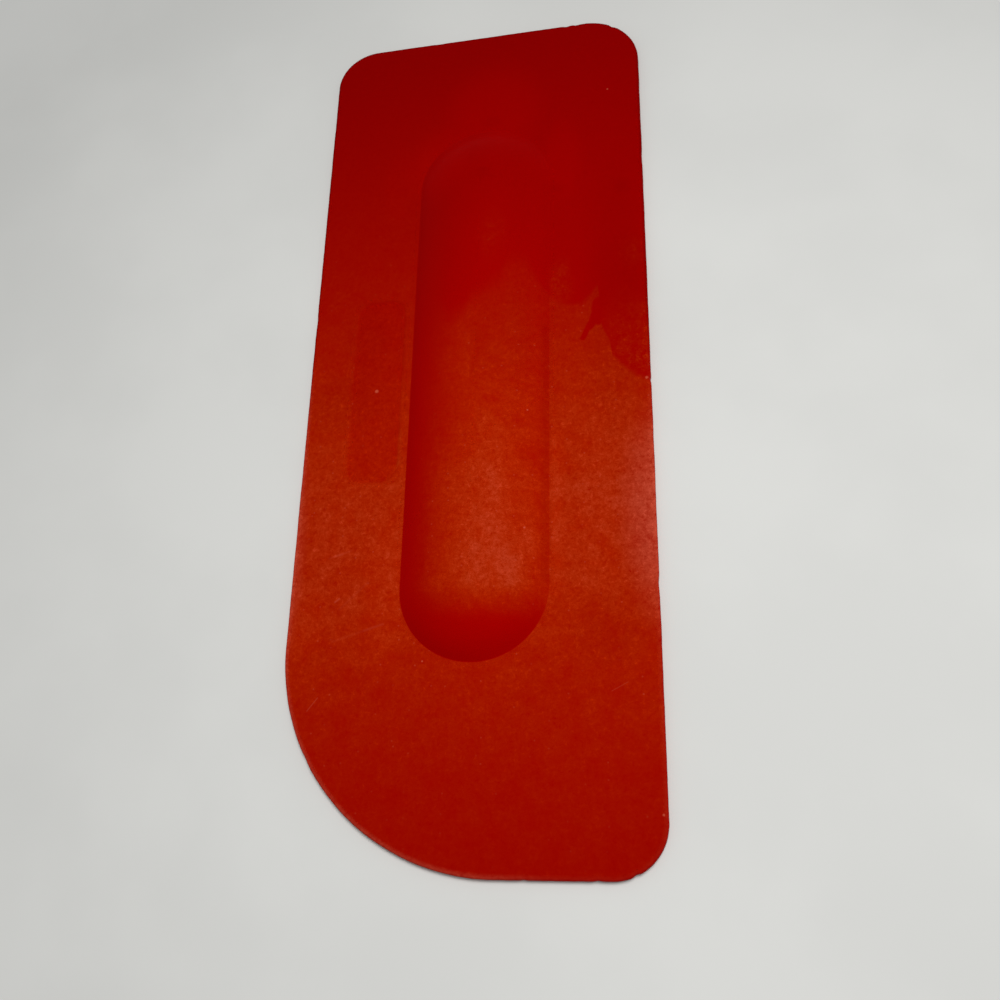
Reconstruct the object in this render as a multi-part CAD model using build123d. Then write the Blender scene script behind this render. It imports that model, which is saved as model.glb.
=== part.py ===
from build123d import *
import math
import os

# Bowl scraper: one moulding in flexible plastic, lying flat on its underside.
# +Y runs along the blade to its far end, +X to the right and +Z up.
# The origin is in the middle of the blade, on the surface it lies on. All sizes are in millimetres.

# Blade
blade_length = 210.0
blade_width = 80.0
blade_thickness = 2.0

# Corners of the blade, seen from above. The near left one is large, to follow the wall of a bowl.
bowl_corner_radius = 46.5
near_right_radius = 11.0
far_right_radius = 13.8
far_left_radius = 10.6

# Rounded edges, all round the blade
top_edge_radius = 0.5
under_edge_radius = 0.3
edge_limit_share = 0.4

# Ridge: a long dome with round ends, raised for the thumb
ridge_near_gap = 42.0
ridge_far_gap = 32.0
ridge_width = 32.5
ridge_height = 5.5
ridge_offset = 1.1
ridge_wall = 2.0
ridge_foot_radius = 0.5
ridge_mouth_radius = 0.5

# Label panel: a shallow recess beside the ridge, left bare, and set off along it from the ridge's middle
panel_length = 47.3
panel_width = 11.9
panel_depth = 0.15
panel_corner_radius = 4.0
panel_ridge_gap = 2.2
panel_offset = -3.05

# Overrun of a cut past the face that it goes through, and the slack in finding an edge by its height
cut_overrun = 1.0
level_slack = 0.01

# Places that follow from the sizes above
near_y = -blade_length / 2
far_y = blade_length / 2
left_x = -blade_width / 2
right_x = blade_width / 2
ridge_half_width = ridge_width / 2
ridge_near_y = near_y + ridge_near_gap + ridge_half_width
ridge_far_y = far_y - ridge_far_gap - ridge_half_width
ridge_middle_y = (ridge_near_y + ridge_far_y) / 2
ridge_straight = ridge_far_y - ridge_near_y
ridge_crown_z = blade_thickness + ridge_height
ridge_reach_x = ridge_half_width + cut_overrun
ridge_reach_y = ridge_straight / 2 + ridge_reach_x


def corner_arc(corner_x, corner_y, radius):
    """The quarter circle that rounds the blade's corner at corner_x, corner_y."""
    toward_x = -math.copysign(radius, corner_x)
    toward_y = -math.copysign(radius, corner_y)
    reach = 1 - math.sqrt(0.5)
    start = (corner_x + toward_x, corner_y)
    middle = (corner_x + toward_x * reach, corner_y + toward_y * reach)
    end = (corner_x, corner_y + toward_y)
    return ThreePointArc(start, middle, end)


def blade_outline():
    """The blade seen from above: four straight sides joined by four quarter circles."""
    near_left = corner_arc(left_x, near_y, bowl_corner_radius)
    near_right = corner_arc(right_x, near_y, near_right_radius)
    far_right = corner_arc(right_x, far_y, far_right_radius)
    far_left = corner_arc(left_x, far_y, far_left_radius)
    near_side = Line(near_left @ 0, near_right @ 0)
    right_side = Line(near_right @ 1, far_right @ 1)
    far_side = Line(far_right @ 0, far_left @ 0)
    left_side = Line(far_left @ 1, near_left @ 1)
    corners = near_left + near_right + far_right + far_left
    return make_face(corners + near_side + right_side + far_side + left_side)


def dome_radius():
    """Radius of the ridge's crown, from its width at the foot and its height."""
    return (ridge_half_width**2 + ridge_height**2) / (2 * ridge_height)


def long_dome(radius, crown_z, foot_z):
    """A round-ended dome: an arc of this radius with its crown at crown_z, cut off level at foot_z."""
    rise = crown_z - foot_z
    half_width = math.sqrt(2 * radius * rise - rise**2)
    turned = half_width * math.sqrt(0.5)
    shoulder_z = crown_z - radius + math.sqrt(radius**2 - turned**2)
    arc = ThreePointArc((0, crown_z), (turned, shoulder_z), (half_width, foot_z))
    floor = Line((half_width, foot_z), (0, foot_z))
    axis_line = Line((0, foot_z), (0, crown_z))
    right_half = make_face(Plane.XZ * (arc + floor + axis_line))
    near_end = revolve(right_half, Axis.Z, 360)
    far_end = Pos(0, ridge_straight, 0) * near_end
    section = right_half + mirror(right_half, Plane.YZ)
    middle = extrude(section, ridge_straight, dir=(0, 1, 0))
    return Pos(ridge_offset, ridge_near_y, 0) * (near_end + middle + far_end)


def label_panel():
    """The block that the label panel's recess is cut with."""
    panel_x = ridge_offset - ridge_half_width - panel_ridge_gap - panel_width / 2
    outline = RectangleRounded(panel_width, panel_length, panel_corner_radius)
    place = Pos(panel_x, ridge_middle_y + panel_offset, blade_thickness - panel_depth)
    return place * extrude(outline, panel_depth + cut_overrun)


def crease(solid, z):
    """The edges round the ridge's foot or mouth, which lie level at the height z."""
    level = solid.edges().filter_by_position(Axis.Z, z - level_slack, z + level_slack)
    across = level.filter_by_position(Axis.X, ridge_offset - ridge_reach_x, ridge_offset + ridge_reach_x)
    return across.filter_by_position(Axis.Y, ridge_middle_y - ridge_reach_y, ridge_middle_y + ridge_reach_y)


def scraper_blade():
    """The whole scraper: the blade, its hollow ridge and the panel beside it."""
    edge_limit = edge_limit_share * blade_thickness
    blade = extrude(blade_outline(), blade_thickness)
    blade = fillet(blade.edges().group_by(Axis.Z)[-1], min(top_edge_radius, edge_limit))
    blade = fillet(blade.edges().group_by(Axis.Z)[0], min(under_edge_radius, edge_limit))
    crown_radius = dome_radius()
    blade = blade + long_dome(crown_radius, ridge_crown_z, blade_thickness)
    blade = fillet(crease(blade, blade_thickness), ridge_foot_radius)
    blade = blade - long_dome(crown_radius - ridge_wall, ridge_crown_z - ridge_wall, -cut_overrun)
    blade = fillet(crease(blade, 0), ridge_mouth_radius)
    return blade - label_panel()


os.makedirs("parts", exist_ok=True)
export_step(scraper_blade(), "parts/scraper_blade.step")
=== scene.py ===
import math

import bmesh
import bpy
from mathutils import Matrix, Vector, noise


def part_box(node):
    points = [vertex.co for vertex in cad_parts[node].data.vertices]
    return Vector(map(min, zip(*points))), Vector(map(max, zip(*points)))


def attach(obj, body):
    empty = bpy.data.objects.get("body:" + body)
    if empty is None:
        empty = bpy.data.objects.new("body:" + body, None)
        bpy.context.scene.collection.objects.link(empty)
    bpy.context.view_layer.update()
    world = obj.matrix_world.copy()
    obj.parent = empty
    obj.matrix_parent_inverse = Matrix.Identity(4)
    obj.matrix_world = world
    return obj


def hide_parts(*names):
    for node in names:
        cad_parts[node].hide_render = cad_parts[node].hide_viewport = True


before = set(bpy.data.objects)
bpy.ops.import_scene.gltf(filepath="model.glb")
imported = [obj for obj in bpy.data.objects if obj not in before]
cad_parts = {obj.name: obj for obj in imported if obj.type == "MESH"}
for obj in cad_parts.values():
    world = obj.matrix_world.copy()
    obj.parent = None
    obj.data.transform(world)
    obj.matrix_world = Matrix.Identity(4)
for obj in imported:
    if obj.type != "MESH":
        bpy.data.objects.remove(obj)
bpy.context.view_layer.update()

# Bowl scraper in red plastic, lying on a pale table with its ridge up.
# Sizes and places on the scraper are in millimetres, in the frame's own axes: +Y runs to its far end, +X
# to the right and +Z up, from the middle of its underside. Its mesh is scaled to metres.
mm = 0.001
blade_low, blade_high = (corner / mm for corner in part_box("scraper_blade"))

# Blade. The wear of its outline fades out over the width of the rim
blade_thickness = 2.0
corner_radii = {"near_left": 46.5, "near_right": 11.0, "far_right": 13.8, "far_left": 10.6}
top_edge_radius = 0.5
under_edge_radius = 0.3
rim_width = 3.0

# Ridge, with a level margin round its crease
ridge_near_gap = 42.0
ridge_far_gap = 32.0
ridge_width = 32.5
ridge_offset = 1.1
ridge_wall = 2.0
ridge_crease_radius = 0.5
ridge_margin = 0.8

# Label panel, a shallow recess that is bare. Its side slopes, with a level margin inside and outside it
panel_length = 47.3
panel_width = 11.9
panel_depth = 0.15
panel_corner_radius = 4.0
panel_ridge_gap = 2.2
panel_offset = -3.05
panel_slope = 0.9
panel_margin = 0.5

# Places that follow from the sizes above
ridge_half_width = ridge_width / 2
ridge_low = (ridge_offset - ridge_half_width, blade_low[1] + ridge_near_gap)
ridge_high = (ridge_offset + ridge_half_width, blade_high[1] - ridge_far_gap)
panel_x = ridge_low[0] - panel_ridge_gap - panel_width / 2
panel_y = (ridge_low[1] + ridge_high[1]) / 2 + panel_offset

# Spacing of the mesh's points along each outline, the fewest steps round a corner, the steps of an edge's
# rounding and of the ridge's arc, and the distance within which points are joined
rim_spacing = 0.4
ridge_spacing = 1.2
panel_spacing = 0.6
fewest_corner_steps = 4
edge_steps = 6
arc_steps = 16
weld_distance = 0.0001

# Worn outline: how far it wanders inward, over what lengths, and its nicks as (x, y, depth, half width)
wander_depths = (0.05, 0.03)
wander_lengths = (6.0, 1.4)
nicks = (
    (21.7, 105.0, 0.28, 0.7),
    (24.4, 105.0, 0.22, 0.8),
    (33.6, 102.5, 0.30, 0.7),
    (-12.0, 105.0, 0.12, 1.2),
    (40.0, -0.6, 0.22, 0.6),
    (40.0, 61.0, 0.10, 1.6),
    (40.0, -47.5, 0.14, 1.8),
    (12.2, -105.0, 0.14, 0.6),
    (26.4, -105.0, 0.16, 0.6),
    (33.8, -104.2, 0.32, 0.7),
    (-40.0, 22.0, 0.10, 1.5),
    (-33.4, -82.0, 0.12, 1.1),
)


def rounded_path(low, high, radii, spacing):
    """A closed path round a rectangle with rounded corners, as [(point, outward normal)], anticlockwise."""
    corners = (
        (low[0], low[1], radii["near_left"], 180),
        (high[0], low[1], radii["near_right"], 270),
        (high[0], high[1], radii["far_right"], 0),
        (low[0], high[1], radii["far_left"], 90),
    )
    arcs = []
    for x, y, radius, start in corners:
        diagonal = math.radians(start + 45)
        toward_x = math.copysign(radius, math.cos(diagonal))
        toward_y = math.copysign(radius, math.sin(diagonal))
        centre = Vector((x, y)) - Vector((toward_x, toward_y))
        steps = max(fewest_corner_steps, round(radius * math.radians(90) / spacing))
        arc = []
        for step in range(steps + 1):
            angle = math.radians(start + 90 * step / steps)
            normal = Vector((math.cos(angle), math.sin(angle)))
            arc.append((centre + normal * radius, normal))
        arcs.append(arc)
    path = []
    for arc, following in zip(arcs, arcs[1:] + arcs[:1]):
        end, normal = arc[-1]
        run = following[0][0] - end
        pieces = round(run.length / spacing)
        # Where two arcs meet with no straight run, the point that they share comes in once.
        path += arc if pieces else arc[:-1]
        path += [(end + run * piece / pieces, normal) for piece in range(1, pieces)]
    return path


def loft(bm, path, profile, worn=None):
    """Rings along path joined by faces, one ring for each (inset, z) of profile.

    worn is how far inward each point of path is worn.
    """
    rings = []
    rim = bm.verts.layers.float["rim"]
    for inset, z in profile:
        share = max(0.0, 1 - inset / rim_width) if worn else 0.0
        ring = []
        for index, (point, normal) in enumerate(path):
            cut = worn[index] * share if worn else 0.0
            vertex = bm.verts.new((*(point - normal * (inset + cut)), z))
            vertex[rim] = share
            ring.append(vertex)
        rings.append(ring)
    for ring, following in zip(rings, rings[1:]):
        for a, b, c, d in zip(ring, ring[1:] + ring[:1], following[1:] + following[:1], following):
            bm.faces.new((a, b, c, d))
    return rings


def fill(bm, rings):
    """Flat faces inside the first ring and outside the others."""
    edges = [bm.edges.get(pair) for ring in rings for pair in zip(ring, ring[1:] + ring[:1])]
    bmesh.ops.triangle_fill(bm, use_beauty=True, edges=edges)


def quarter(radius, steps):
    """(across, down) along a quarter circle that starts level and ends upright."""
    angles = [math.radians(90 * step / steps) for step in range(steps + 1)]
    return [(radius * (1 - math.sin(angle)), radius * (1 - math.cos(angle))) for angle in angles]


def rim_profile():
    """(inset, z) from the top face, round the blade's edge to its underside."""
    over = [(across, blade_thickness - down) for across, down in quarter(top_edge_radius, edge_steps)]
    under = quarter(under_edge_radius, edge_steps)[::-1]
    insets = [rim_width, rim_width / 2, 2 * top_edge_radius]
    top = [(inset, blade_thickness) for inset in insets]
    bottom = [(inset, 0.0) for inset in reversed(insets)]
    return top + over + under + bottom


def dome_profile(radius, centre_z, floor_z):
    """(distance from the middle line, z) from a level floor, through the crease, up an arc to its crown."""
    reach = radius + ridge_crease_radius
    crease_z = floor_z + ridge_crease_radius
    crease_r = math.sqrt(reach**2 - (crease_z - centre_z) ** 2)
    tilt = math.asin(crease_r / reach)
    crease = []
    for step in range(edge_steps + 1):
        angle = tilt * step / edge_steps
        r = crease_r - ridge_crease_radius * math.sin(angle)
        crease.append((r, crease_z - ridge_crease_radius * math.cos(angle)))
    arc = []
    for step in range(1, arc_steps + 1):
        angle = tilt * (1 - step / arc_steps)
        arc.append((radius * math.sin(angle), centre_z + radius * math.cos(angle)))
    return [(crease_r + ridge_margin, floor_z)] + crease + arc


def panel_profile():
    """(inset, z) from the blade's top face, down a gentle slope to the panel's floor."""
    slope = []
    for step in range(edge_steps + 1):
        share = step / edge_steps
        drop = (1 - math.cos(math.pi * share)) / 2
        slope.append((panel_slope * (share - 0.5), blade_thickness - panel_depth * drop))
    floor = (panel_slope / 2 + panel_margin, blade_thickness - panel_depth)
    return [(-panel_slope / 2 - panel_margin, blade_thickness)] + slope + [floor]


def wear_at(point):
    """How far inward the outline is worn at a point on it."""
    worn = 0.0
    for depth, length in zip(wander_depths, wander_lengths):
        worn += depth * (1 + noise.noise(Vector((*(point / length), 0.0))))
    for x, y, depth, half_width in nicks:
        away = (point - Vector((x, y))).length / half_width
        worn += depth * math.exp(-away**2)
    return worn


def make_blade():
    """The scraper as one closed mesh: a worn rim, the hollow ridge and the panel, joined by flat faces."""
    bm = bmesh.new()
    bm.verts.layers.float.new("rim")
    in_panel = bm.verts.layers.float.new("panel")
    outline = rounded_path(blade_low, blade_high, corner_radii, rim_spacing)
    rim = loft(bm, outline, rim_profile(), [wear_at(point) for point, normal in outline])

    round_ends = dict.fromkeys(corner_radii, ridge_half_width)
    ridge_path = rounded_path(ridge_low, ridge_high, round_ends, ridge_spacing)
    rise = blade_high[2] - blade_thickness
    radius = (ridge_half_width**2 + rise**2) / (2 * rise)
    centre_z = blade_high[2] - radius
    over = [(ridge_half_width - r, z) for r, z in dome_profile(radius, centre_z, blade_thickness)]
    under = [(ridge_half_width - r, z) for r, z in dome_profile(radius - ridge_wall, centre_z, 0.0)]
    ridge_top = loft(bm, ridge_path, over)
    ridge_under = loft(bm, ridge_path, under)

    panel_low = (panel_x - panel_width / 2, panel_y - panel_length / 2)
    panel_high = (panel_x + panel_width / 2, panel_y + panel_length / 2)
    panel_radii = dict.fromkeys(corner_radii, panel_corner_radius)
    panel_path = rounded_path(panel_low, panel_high, panel_radii, panel_spacing)
    panel = loft(bm, panel_path, panel_profile())
    for ring, (inset, z) in zip(panel, panel_profile()):
        depth_share = (blade_thickness - z) / panel_depth
        for vertex in ring:
            vertex[in_panel] = depth_share

    fill(bm, [rim[0], ridge_top[0], panel[0]])
    fill(bm, [rim[-1], ridge_under[0]])
    fill(bm, [panel[-1]])
    bmesh.ops.remove_doubles(bm, verts=bm.verts, dist=weld_distance)
    bmesh.ops.recalc_face_normals(bm, faces=bm.faces)
    bmesh.ops.scale(bm, verts=bm.verts, vec=(mm, mm, mm))
    mesh = bpy.data.meshes.new("worn_blade")
    bm.to_mesh(mesh)
    bm.free()
    mesh.shade_smooth()
    blade = bpy.data.objects.new("worn_blade", mesh)
    bpy.context.scene.collection.objects.link(blade)
    return blade


class Value:
    """A node's output in a graph, that adds and multiplies like a number."""

    def __init__(self, graph, socket):
        self.graph = graph
        self.socket = socket

    def __add__(self, other):
        return self.graph.math("ADD", self, other)

    def __radd__(self, other):
        return self.graph.math("ADD", other, self)

    def __sub__(self, other):
        return self.graph.math("SUBTRACT", self, other)

    def __rsub__(self, other):
        return self.graph.math("SUBTRACT", other, self)

    def __mul__(self, other):
        return self.graph.math("MULTIPLY", self, other)

    def __rmul__(self, other):
        return self.graph.math("MULTIPLY", other, self)


class Graph:
    """A node tree that plain calls add to. A value is a number, a vector, a colour or a node's output."""

    def __init__(self, tree):
        self.tree = tree

    def plug(self, socket, value):
        if isinstance(value, Value):
            self.tree.links.new(value.socket, socket)
        else:
            socket.default_value = value

    def node(self, kind, output=0, inputs=(), **settings):
        """One output of a new node, or a list of them where output is a tuple of names."""
        made = self.tree.nodes.new(kind)
        for name, value in settings.items():
            setattr(made, name, value)
        for key, value in dict(inputs).items():
            self.plug(made.inputs[key], value)
        if isinstance(output, tuple):
            return [Value(self, made.outputs[name]) for name in output]
        return Value(self, made.outputs[output])

    def math(self, operation, *values):
        return self.node("ShaderNodeMath", operation=operation, inputs=enumerate(values))

    def clamp(self, value):
        return self.node("ShaderNodeClamp", inputs={"Value": value})

    def vector(self, operation, *values, output=0):
        return self.node("ShaderNodeVectorMath", output, operation=operation, inputs=enumerate(values))

    def scaled(self, vector, scale):
        return self.node("ShaderNodeVectorMath", operation="SCALE", inputs={0: vector, "Scale": scale})

    def length(self, vector):
        return self.vector("LENGTH", vector, output="Value")

    def distance(self, first, second):
        return self.vector("DISTANCE", first, second, output="Value")

    def parts(self, vector):
        """The x, y and z of a vector."""
        return self.node("ShaderNodeSeparateXYZ", ("X", "Y", "Z"), inputs={0: vector})

    def attribute(self, name):
        """A number that the mesh keeps at each of its points."""
        return self.node("ShaderNodeAttribute", "Fac", attribute_name=name)

    def mix(self, share, first, second):
        return self.node("ShaderNodeMixRGB", inputs={"Fac": share, "Color1": first, "Color2": second})

    def ramp(self, value, start, end, low=0.0, high=1.0):
        """low as far as start, high from end on, and a smooth slope between them."""
        inputs = {"Value": value, "From Min": start, "From Max": end, "To Min": low, "To Max": high}
        return self.node("ShaderNodeMapRange", interpolation_type="SMOOTHSTEP", inputs=inputs)

    def curve(self, value, points):
        """Straight runs through points, each (value, result)."""
        starts, results = zip(*points)
        start, run = starts[0], starts[-1] - starts[0]
        low, rise = min(results), max(results) - min(results)
        along = self.clamp(self.math("DIVIDE", value - start, run))
        output = self.node("ShaderNodeFloatCurve", inputs={"Value": along})
        mapping = output.socket.node.mapping
        line = mapping.curves[0]
        for passed, result in points[1:-1]:
            line.points.new((passed - start) / run, (result - low) / rise)
        line.points[0].location.y = (results[0] - low) / rise
        line.points[-1].location.y = (results[-1] - low) / rise
        for point in line.points:
            point.handle_type = "VECTOR"
        mapping.update()
        return output * rise + low

    def texture(self, place, look):
        """Noise that varies about 0. look is (cells per unit of place, detail, roughness, distortion)."""
        scale, detail, roughness, distortion = look
        grain = {"Detail": detail, "Roughness": roughness, "Distortion": distortion}
        inputs = {"Vector": place, "Scale": scale, **grain}
        return self.node("ShaderNodeTexNoise", noise_dimensions="2D", inputs=inputs) - 0.5

    def blob(self, place, centre, radii, edge):
        """A soft ellipse: 1 inside the inner share of radii, 0 past the outer share. edge is both shares."""
        inner, outer = edge
        away = self.vector("SUBTRACT", place, (*centre, 0.0))
        across = self.vector("DIVIDE", away, (*radii, 1.0))
        return self.ramp(self.length(across), outer, inner)

    def blobs(self, place, table, edge):
        """The sum of the soft ellipses in table, each (centre, radii, strength)."""
        total = 0.0
        for centre, radii, strength in table:
            total = strength * self.blob(place, centre, radii, edge) + total
        return total

    def stroke(self, place, start, end, half_width):
        """A thin straight mark from start to end, which fades at its sides."""
        along = Vector((*end, 0.0)) - Vector((*start, 0.0))
        from_start = self.vector("SUBTRACT", place, (*start, 0.0))
        covered = self.vector("DOT_PRODUCT", from_start, along, output="Value")
        share = self.clamp(self.math("DIVIDE", covered, along.length_squared))
        return self.ramp(self.distance(from_start, self.scaled(along, share)), half_width, 0.0)

    def strokes(self, place, table):
        """The sum of the thin marks in table, each (start, end, half width, strength)."""
        total = 0.0
        for start, end, half_width, strength in table:
            total = strength * self.stroke(place, start, end, half_width) + total
        return total


# Colours of the plastic: clean; under a thin and a thick film of flour dust and fine scuffs, with a painted
# sheen;
# and worn pale, with the painted sheen of the pale edges
clean_red = (0.300, 0.0002, 0.0001, 1.0)
thin_dust_and_sheen_red = (0.3675, 0.0283, 0.0002, 1.0)
thick_dust_and_sheen_red = (0.3675, 0.0283, 0.0080, 1.0)
worn_and_sheen_red = (0.430, 0.0520, 0.0260, 1.0)

# The strength of the film, with its painted sheen, where it hides the clean red, and the shares of that
# strength between which its colour turns from thin to thick
dust_and_sheen_thickest = 1.35
thick_dust_and_sheen_cover = (0.3, 1.1)

# Sheen, the roughness of the clean plastic and of the film, and the relief that the mottle gives, which is in
# millimetres
sheen_tint = (1.0, 0.20, 0.05, 1.0)
sheen_level = 0.006
clean_roughness = 0.30
film_roughness = 0.45
mottle_relief = 0.02
relief_strength = 0.6

# Textures as (cells per mm, detail, roughness, distortion), from fine to large. The mottle's own value, its
# square and its cube are added in the shares of mottle_powers, so that its peaks stand out
mottle_look = (0.9, 3.0, 0.95, 0.3)
mottle_powers = (0.8, 0.4, 9.0)
patch_look = (0.25, 4.0, 0.6, 0.0)
cloud_look = (0.07, 3.0, 0.6, 0.0)

# The strength of the film and its painted sheen from the near end to the far end, as (y, strength)
dust_and_sheen_along = (
    (-105, 0.10),
    (-85, 0.17),
    (-62, 0.36),
    (-46, 0.64),
    (-25, 0.70),
    (-18, 0.52),
    (-5, 0.42),
    (8, 0.30),
    (24, 0.16),
    (40, 0.09),
    (62, 0.03),
    (85, 0.0),
)

# How much the film varies with each texture
dust_and_sheen_by_mottle = 2.2
dust_and_sheen_by_patches = 1.4
dust_and_sheen_by_clouds = 0.6

# The film carries a painted sheen that follows the lamp: it thins out on slopes that face left or near, away
# from the lamp, and is gone where the normal leans this far left or near. Between the two leans to the right
# it thins out too, down to the share given last
painted_sheen_lean = (0.56, 0.36)
painted_sheen_lean_right = (0.25, 0.8)
painted_sheen_right_share = 0.3

# The panel's sloping sides keep the film, from this share of its depth on. Its floor lacks a share of it
panel_film_depth = 0.1
panel_film_loss = 0.42

# The underside's film, and how much it varies with the clouds
underside_film = 0.25
underside_by_clouds = 1.2

# Places with more film and painted sheen, or with less where the strength is negative, as (centre, radii,
# strength), and lines of it, as (start, end, half width, strength). The first three spots are a painted
# highlight on the ridge's crown, the two negative spots at y -57 a painted shadow, and the first two lines,
# along the ridge's right foot, painted shade and light. A spot fades between two shares of its radii, here
# and below named as its edge
dust_and_sheen_edge = (0.0, 1.2)
dust_sheen_and_shade_spots = (
    ((6.5, -42.0), (11.0, 14.0), 0.34),
    ((5.0, -24.0), (5.0, 16.0), 0.16),
    ((8.0, -45.5), (6.0, 5.0), 0.16),
    ((31.0, -14.0), (18.0, 36.0), 0.20),
    ((-5.0, -9.0), (7.0, 14.0), -0.12),
    ((-32.0, -57.0), (16.0, 14.0), 0.13),
    ((-17.0, -52.0), (6.0, 12.0), 0.10),
    ((10.0, -31.0), (12.0, 7.0), -0.09),
    ((5.0, -14.0), (5.0, 8.0), 0.10),
    ((-34.0, -15.0), (5.0, 9.0), 0.12),
    ((-21.5, -44.5), (5.0, 7.0), 0.12),
    ((-27.0, -57.0), (7.0, 6.0), -0.09),
    ((30.0, -57.0), (9.0, 7.0), -0.09),
    ((30.0, 6.0), (4.0, 8.0), -0.12),
    ((24.0, -2.0), (5.0, 8.0), -0.07),
    ((22.5, -22.0), (4.0, 4.0), 0.10),
)
dust_sheen_and_shade_lines = (
    ((16.6, -46.0), (16.6, 14.0), 1.8, -0.07),
    ((18.8, -48.0), (18.8, -14.0), 1.8, 0.13),
    ((-17.0, -9.0), (-17.1, -17.2), 0.7, 0.20),
    ((-17.1, -17.2), (-19.4, -20.9), 0.7, 0.20),
)

# The line past which the film was wiped off, as y at each x, and how far it wanders with the patches
wiped_line = (
    (-12, 22),
    (-8, 20),
    (-5, 16),
    (-2, 18),
    (0, 21),
    (3, 23),
    (6, 25),
    (8, 30),
    (12, 31),
    (15, 26),
    (18, 22),
    (21, 20),
    (25, 20),
    (27, 22),
    (28.6, 25),
    (29.3, 14),
    (31, 9.5),
    (31.6, 6),
    (33, 4),
    (36, 1),
    (41, -2),
)
wiped_wander = 4.0

# How soft the line is. From wiped_vague_x leftward, the distance past it counts for less, down to this
# share, so the line is softer there. The wiping itself fades in from the left between wiped_from_x
wiped_softness = 1.2
wiped_vague_x = (12.0, 19.0)
wiped_vague_share = 0.3
wiped_from_x = (-14.0, -6.0)

# Streaks wiped into the film short of that line, as (start, end, half width). A stroke is 1 along its middle
# and 0 at its half width, and the film goes between the values of streak_edge. They wander as the line does
wiped_streaks = (
    ((24.8, 10.8), (27.0, 14.5), 1.2),
    ((26.6, 13.9), (28.2, 17.5), 2.0),
    ((28.5, 15.3), (28.5, 20.0), 2.6),
)
streak_edge = (0.3, 0.7)
streak_wander = (0.4, 0.2, 0.0)

# Film left in the wiped part, as (centre, radii, strength), and how much it varies
film_left = (
    ((34.5, 11.0), (5.5, 12.0), 0.11),
    ((39.5, 10.0), (3.0, 12.0), 0.12),
    ((37.8, 4.5), (3.0, 3.5), 0.25),
    ((37.0, 33.0), (4.0, 5.0), 0.06),
    ((20.0, 26.0), (3.5, 8.0), 0.11),
    ((4.5, 38.0), (4.0, 8.0), 0.07),
)
left_by_mottle = 4.0
left_by_patches = 3.0

# The red is paler round a middle and deeper further off, as (distance, strength): partly rubbed wear, partly
# a painted pool of light that falls off towards the ends
rubbed_and_painted_light_middle = (8.0, -25.0, 0.0)
rubbed_and_painted_light_away = ((0, 1.06), (35, 1.03), (60, 0.98), (80, 0.92), (100, 0.86), (130, 0.77))

# It is also paler, or deeper where the strength is negative, in spots, as (centre, radii, strength), and in
# lines, as (start, end, half width, strength). Many are rubbed wear; the spots round and beyond the ridge's
# far end and on its near slope are painted light, the deeper spot at (30, -56) a painted shadow, and the
# lines along the ridge's right foot painted shade and light
rubbed_and_painted_light_edge = (0.4, 1.2)
rubbed_and_painted_light_spots = (
    ((3.0, 80.0), (14.0, 16.0), 0.09),
    ((1.5, -12.0), (18.0, 62.0), 0.06),
    ((-10.5, 63.5), (9.0, 13.0), 0.09),
    ((-21.0, 60.0), (4.0, 14.0), 0.03),
    ((20.5, 62.0), (5.5, 14.0), 0.06),
    ((1.0, -55.5), (11.0, 5.0), 0.04),
    ((33.0, 18.0), (9.0, 42.0), -0.065),
    ((7.0, 11.0), (9.0, 15.0), -0.045),
    ((-18.0, -46.0), (6.0, 20.0), 0.05),
    ((30.0, -56.0), (9.0, 9.0), -0.05),
    ((-27.0, 14.0), (6.0, 13.0), -0.035),
    ((-32.0, -1.0), (11.0, 8.0), -0.045),
    ((-37.0, -54.0), (6.0, 9.0), 0.04),
    ((35.0, -34.0), (5.0, 18.0), -0.04),
)
rubbed_and_painted_shade_lines = (
    ((16.6, -46.0), (16.6, 14.0), 1.8, -0.065),
    ((18.9, -48.0), (18.9, -14.0), 2.4, 0.06),
)

# The ridge's flanks are painted paler too, a painted light that softens their shading, where the normal's z
# is below flank_rise, but not those that face near, where its y is below flank_turn. Each change takes place
# between the two values
painted_flank_light = 0.05
flank_rise = (0.95, 0.84)
flank_turn = (-0.5, -0.1)

# The red's grain: the patches' share in it, two strengths of the film, the grain's strength at each, and what
# the panel adds
grain_by_patches = 0.15
grain_film = (0.1, 0.7)
grain_strengths = (0.15, 0.63)
panel_grain = 0.25

# Edges that are scuffed pale, as (centre, radii, strength), and how much they vary. Their paleness is partly
# a painted
# sheen: the lamp's broad highlight on the right edge, and the highlight on the left edge's rounding
edge_scuffs_and_sheen = (
    ((44.0, -32.0), (11.4, 27.0), 1.0),
    ((-41.0, -38.0), (4.0, 28.0), 0.35),
)
scuffs_and_sheen_by_mottle = 2.8
scuffs_and_sheen_by_patches = 1.6

# The rim runs from 0 at its inner side to 1 at the blade's edge. It is worn pale past rim_worn_from, where y
# falls below rim_worn_y, and more so on the left, where x falls below rim_worn_x. Towards the far end its
# outer part is darker, a painted shade on the rounded edge: the last three values give how much, from which
# share of the rim and from which y
rim_worn_from = 0.55
rim_worn_y = (15.0, -15.0)
rim_worn_x = (20.0, 0.0)
rim_worn_strengths = (0.1, 0.5)
rim_worn_by_mottle = 3.0
rim_painted_shade = 0.20
rim_painted_shade_from = (0.75, 0.9)
rim_painted_shade_y = (-5.0, 15.0)

# Dark stains, as (centre, radii, strength)
stain_edge = (0.0, 1.4)
stains = (
    ((1.9, 56.4), (2.4, 1.8), 0.05),
    ((18.7, 53.5), (2.6, 2.0), 0.05),
    ((34.9, 51.8), (2.2, 2.6), 0.05),
    ((2.5, 76.1), (3.0, 2.2), 0.05),
    ((35.0, 26.0), (8.0, 12.0), 0.05),
)

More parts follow.
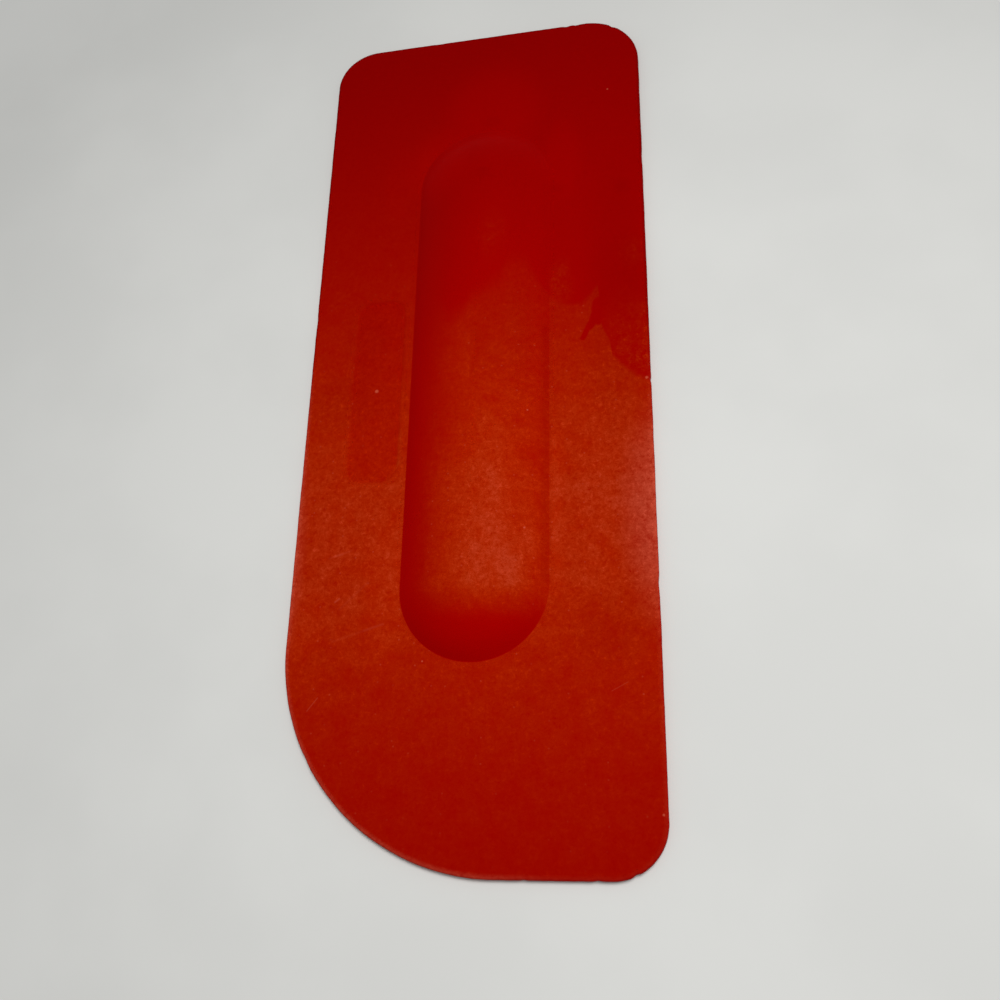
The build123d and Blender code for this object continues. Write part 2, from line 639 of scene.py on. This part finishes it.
# Scratches as (start, end, half width, strength)
scratches = (
    ((-29.4, -57.9), (-18.4, -54.4), 0.50, 0.08),
    ((-22.5, -55.7), (-18.4, -54.4), 0.45, 0.09),
    ((-28.4, -50.9), (-22.4, -45.0), 0.40, 0.09),
    ((-29.5, -49.2), (-28.6, -48.5), 0.35, 0.45),
    ((-33.8, -72.5), (-31.7, -69.8), 0.22, 0.35),
    ((-31.6, -39.2), (-26.6, -37.6), 0.40, 0.10),
    ((-30.4, -38.8), (-28.6, -38.4), 0.35, 0.18),
    ((29.8, -69.5), (33.0, -67.8), 0.16, 0.25),
)

# Pale specks as (centre, radius)
speck_edge = (0.5, 1.3)
specks = (
    ((-23.4, 1.4), 0.45),
    ((-9.4, -62.6), 0.20),
    ((39.0, -0.4), 0.35),
    ((12.8, -7.7), 0.20),
    ((12.4, -35.3), 0.22),
    ((32.0, 82.0), 0.25),
    ((39.0, -93.0), 0.25),
)

# Finer flecks strewn over the film: the size of the cells that may hold one each, the outer and inner radius
# of a fleck's soft edge, the share of cells that stay empty, and the film past which a fleck grows no paler
fleck_cell = 3.6
fleck_radii = (0.27, 0.09)
fleck_empty_share = 0.5
fleck_film = 0.35


class RedPlastic(Graph):
    """The nodes of matte red plastic with a patchy layer of dust with a painted sheen, worn places with
    painted light and shade, marks, stains and a worn rim with painted shade.
    """

    def __init__(self, tree):
        super().__init__(tree)
        spot = self.node("ShaderNodeTexCoord", "Object")
        self.place = self.vector("MULTIPLY", spot, (1 / mm, 1 / mm, 0.0))
        self.x, self.y = self.parts(self.place)[:2]
        self.facing = self.node("ShaderNodeTexCoord", "Normal")
        self.facing_x, self.facing_y, self.facing_z = self.parts(self.facing)
        self.on_top = self.math("GREATER_THAN", self.facing_z, 0.0)
        self.in_panel = self.attribute("panel")
        self.rim = self.attribute("rim")
        # Down the blade's sides the fine textures slant, so that they don't run straight down in streaks.
        below_top = self.math("MINIMUM", self.parts(spot)[2] * (1 / mm) - blade_thickness, 0.0)
        slanted = self.vector("ADD", self.place, self.scaled((1.0, 1.0, 0.0), below_top))
        mottle = self.texture(slanted, mottle_look)
        plain, square, cube = mottle_powers
        self.mottle = mottle * (plain + mottle * (square + cube * mottle))
        self.patches = self.texture(slanted, patch_look)
        self.clouds = self.texture(self.place, cloud_look)
        self.wander = self.patches * wiped_wander

    def wiped(self):
        """The share of the dust, with its painted sheen, that was wiped off, past the wiped line and in the
        streaks.
        """
        past_line = self.y - self.curve(self.x, wiped_line) + self.wander
        past_line = past_line * self.ramp(self.x, *wiped_vague_x, wiped_vague_share, 1.0)
        wiped = self.ramp(past_line, -wiped_softness, wiped_softness)
        wiped = wiped * self.ramp(self.x + self.wander, *wiped_from_x)
        wandered = self.vector("ADD", self.place, self.scaled(streak_wander, self.wander))
        for start, end, half_width in wiped_streaks:
            streak = self.ramp(self.stroke(wandered, start, end, half_width), *streak_edge)
            wiped = self.math("MAXIMUM", wiped, streak)
        return wiped

    def dust_and_sheen(self):
        """The strength of the dust with its painted sheen, from 0 up to about its thickest value."""
        dust_and_sheen = self.curve(self.y + self.wander, dust_and_sheen_along)
        dust_and_sheen = dust_and_sheen + self.blobs(self.place, dust_sheen_and_shade_spots, dust_and_sheen_edge) + self.strokes(self.place, dust_sheen_and_shade_lines)
        dust_and_sheen = dust_and_sheen * (1 - self.wiped())
        uneven = 1 + left_by_mottle * self.mottle + left_by_patches * self.patches
        dust_and_sheen = dust_and_sheen + self.blobs(self.place, film_left, dust_and_sheen_edge) * uneven

        # Painted sheen: the film is taken off slopes that face away from the lamp
        lean = self.vector("MINIMUM", self.facing, (0.0, 0.0, 0.0))
        lean = self.length(self.vector("DIVIDE", lean, (*painted_sheen_lean, 1.0)))
        kept = self.ramp(lean, 1.0, 0.0) * self.ramp(self.facing_x, *painted_sheen_lean_right, 1.0, painted_sheen_right_share)
        kept = self.math("MAXIMUM", kept, self.ramp(self.in_panel, 0.0, panel_film_depth))
        dust_and_sheen = dust_and_sheen * (1 - panel_film_loss * self.in_panel) * kept
        dust_and_sheen = dust_and_sheen * (1 + dust_and_sheen_by_clouds * self.clouds + dust_and_sheen_by_patches * self.patches)
        underside = underside_film + underside_by_clouds * self.clouds
        dust_and_sheen = dust_and_sheen * self.on_top + underside * (1 - self.on_top)
        return dust_and_sheen * (1 + dust_and_sheen_by_mottle * self.mottle)

    def flecks(self, dust_and_sheen):
        """How pale the finer flecks are, one to a cell in some of the cells."""
        cells = {"Vector": self.place, "Scale": 1 / fleck_cell}
        outputs = ("Distance", "Color")
        away, chance = self.node("ShaderNodeTexVoronoi", outputs, voronoi_dimensions="2D", inputs=cells)
        fleck = self.ramp(away * fleck_cell, *fleck_radii)
        shown = self.ramp(self.parts(chance)[0], fleck_empty_share, 1.0)
        return fleck * shown * self.math("MINIMUM", dust_and_sheen, fleck_film)

    def marks(self, dust_and_sheen):
        """How far the plastic is worn pale, from 0 to 1: scuffs, partly painted sheen on the edges,
        scratches, specks, flecks and the rim.
        """
        uneven = 1 + scuffs_and_sheen_by_patches * self.patches + scuffs_and_sheen_by_mottle * self.mottle
        # Pale edges, partly painted sheen
        marks = self.blobs(self.place, edge_scuffs_and_sheen, dust_and_sheen_edge) * uneven
        marks = marks + self.strokes(self.place, scratches)
        for centre, radius in specks:
            marks = marks + self.blob(self.place, centre, (radius, radius), speck_edge)
        marks = marks + self.flecks(dust_and_sheen)
        rim_worn = self.ramp(self.rim, rim_worn_from, 1.0) * self.ramp(self.y, *rim_worn_y)
        rim_worn = rim_worn * self.ramp(self.x, *rim_worn_x, *rim_worn_strengths)
        rim_worn = rim_worn * (1 + rim_worn_by_mottle * self.mottle)
        return self.clamp(marks * self.on_top + rim_worn)

    def tone(self, dust_and_sheen):
        """How pale the colour is, about 1: worn places and grain, with painted light and shade, less the
        stains and the painted shade on the far rim.
        """
        # Partly rubbed wear, partly painted light and painted shade
        rubbed_and_painted_light = self.curve(self.distance(self.place, rubbed_and_painted_light_middle), rubbed_and_painted_light_away)
        rubbed_and_painted_light = rubbed_and_painted_light + self.blobs(self.place, rubbed_and_painted_light_spots, rubbed_and_painted_light_edge)
        rubbed_and_painted_light = rubbed_and_painted_light + self.strokes(self.place, rubbed_and_painted_shade_lines)
        # Painted light on the ridge's flanks
        flank = self.ramp(self.facing_z, *flank_rise) * self.ramp(self.facing_y, *flank_turn)
        rubbed_and_painted_light = rubbed_and_painted_light + painted_flank_light * flank
        grain = self.mottle + grain_by_patches * self.patches
        grain = grain * (self.ramp(dust_and_sheen, *grain_film, *grain_strengths) + panel_grain * self.in_panel)
        # Painted shade on the far rim's rounded edge, added to the real stains
        far_rim_shade = self.ramp(self.rim, *rim_painted_shade_from) * self.ramp(self.y, *rim_painted_shade_y)
        stains_and_painted_shade = self.blobs(self.place, stains, stain_edge) * self.on_top + rim_painted_shade * far_rim_shade
        return rubbed_and_painted_light + grain - stains_and_painted_shade

    def colour(self, dust_and_sheen):
        """The clean red, then the dust with its painted sheen over it, then the marks, and the tone over all.
        """
        cover = dust_and_sheen * (1 / dust_and_sheen_thickest)
        film_red = self.mix(self.ramp(cover, *thick_dust_and_sheen_cover), thin_dust_and_sheen_red, thick_dust_and_sheen_red)
        colour = self.mix(cover, clean_red, film_red)
        colour = self.mix(self.marks(dust_and_sheen), colour, worn_and_sheen_red)
        return self.scaled(colour, self.tone(dust_and_sheen))


def red_plastic():
    """The scraper's one material."""
    material = bpy.data.materials.new("red_plastic_worn")
    material.use_nodes = True
    g = RedPlastic(material.node_tree)
    shader = g.tree.nodes["Principled BSDF"].inputs
    dust_and_sheen = g.dust_and_sheen()
    g.plug(shader["Base Color"], g.colour(dust_and_sheen))
    g.plug(shader["Roughness"], g.ramp(dust_and_sheen, 0.0, 1.0, clean_roughness, film_roughness))
    relief = {"Height": mottle_relief * g.mottle, "Distance": mm, "Strength": relief_strength}
    g.plug(shader["Normal"], g.node("ShaderNodeBump", inputs=relief))
    shader["Specular IOR Level"].default_value = sheen_level
    shader["Specular Tint"].default_value = sheen_tint
    return material


# Stage. Its places and sizes are in metres, apart from those in the table's material, in millimetres
white = (1.0, 1.0, 1.0, 1.0)

# A pale table with faint blotches, which follow a texture from one tone to another over this range of it
table_half = 4.0
table_white = (0.638, 0.640, 0.618)
table_roughness = 0.9
table_sheen_level = 0.0
table_look = (0.02, 5.0, 0.5, 0.0)
table_range = (-0.2, 0.2)
table_tones = (0.98, 1.02)

# To the camera alone, the table glows paler by this much, between these distances from a middle: a painted
# glow
table_pale = 0.42
table_pale_middle = (50.0, -50.0, 0.0)
table_pale_away = (225.0, 465.0)

# An even light from all round, and how bright it looks to the camera
surround_light = 0.32
surround_pale = 0.68

# A soft lamp overhead, with its beam narrowed
lamp_place = Vector((0.26, 0.14, 0.95))
lamp_target = Vector((0.05, -0.06, 0.0))
lamp_size = (0.5, 0.4)
lamp_spread = math.radians(44)
lamp_power = 0.73


def make_table():
    """The table that the scraper lies on, which isn't part of it."""
    mesh = bpy.data.meshes.new("table")
    corners = [Vector((x, y, 0.0)) * table_half for x, y in ((-1, -1), (1, -1), (1, 1), (-1, 1))]
    mesh.from_pydata(corners, [], [(0, 1, 2, 3)])
    table = bpy.data.objects.new("table", mesh)
    bpy.context.scene.collection.objects.link(table)
    material = bpy.data.materials.new("table_white")
    material.use_nodes = True
    g = Graph(material.node_tree)
    shader = g.tree.nodes["Principled BSDF"].inputs
    place = g.scaled(g.node("ShaderNodeTexCoord", "Object"), 1 / mm)
    tone = g.ramp(g.texture(place, table_look), *table_range, *table_tones)
    g.plug(shader["Base Color"], g.scaled(table_white, tone))
    shader["Roughness"].default_value = table_roughness
    shader["Specular IOR Level"].default_value = table_sheen_level
    pale = g.ramp(g.distance(place, table_pale_middle), *table_pale_away, 0.0, table_pale)
    seen = g.node("ShaderNodeLightPath", "Is Camera Ray")
    shader["Emission Color"].default_value = white
    g.plug(shader["Emission Strength"], seen * pale)
    mesh.materials.append(material)


def make_light():
    """The even light from all round, and the lamp."""
    world = bpy.data.worlds.new("surround")
    bpy.context.scene.world = world
    world.use_nodes = True
    g = Graph(world.node_tree)
    seen = g.node("ShaderNodeLightPath", "Is Camera Ray")
    background = g.tree.nodes["Background"].inputs
    background["Color"].default_value = white
    g.plug(background["Strength"], g.ramp(seen, 0.0, 1.0, surround_light, surround_pale))

    lamp = bpy.data.lights.new("soft_lamp", "AREA")
    lamp.shape = "RECTANGLE"
    lamp.size, lamp.size_y = lamp_size
    lamp.spread = lamp_spread
    lamp.energy = lamp_power
    holder = bpy.data.objects.new("soft_lamp", lamp)
    holder.location = lamp_place
    holder.rotation_euler = (lamp_target - lamp_place).to_track_quat("-Z", "Y").to_euler()
    bpy.context.scene.collection.objects.link(holder)


# Camera over the near right of the blade, with its turn in degrees and its lens and sensor in millimetres
camera_place = (0.04781, -0.10804, 0.20355)
camera_turn = (21.562, 11.197, 1.039)
camera_lens = 36.63
camera_sensor = 36.0
camera_nearest = 0.01


def make_camera():
    """The camera that the picture is taken with."""
    data = bpy.data.cameras.new("camera")
    data.sensor_width = camera_sensor
    data.lens = camera_lens
    data.clip_start = camera_nearest
    camera = bpy.data.objects.new("camera", data)
    camera.location = camera_place
    camera.rotation_euler = [math.radians(angle) for angle in camera_turn]
    bpy.context.scene.collection.objects.link(camera)
    bpy.context.scene.camera = camera


blade = make_blade()
blade.data.materials.append(red_plastic())
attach(blade, "root")
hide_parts("scraper_blade")
make_table()
make_light()
make_camera()
bpy.context.scene.view_settings.view_transform = "Standard"
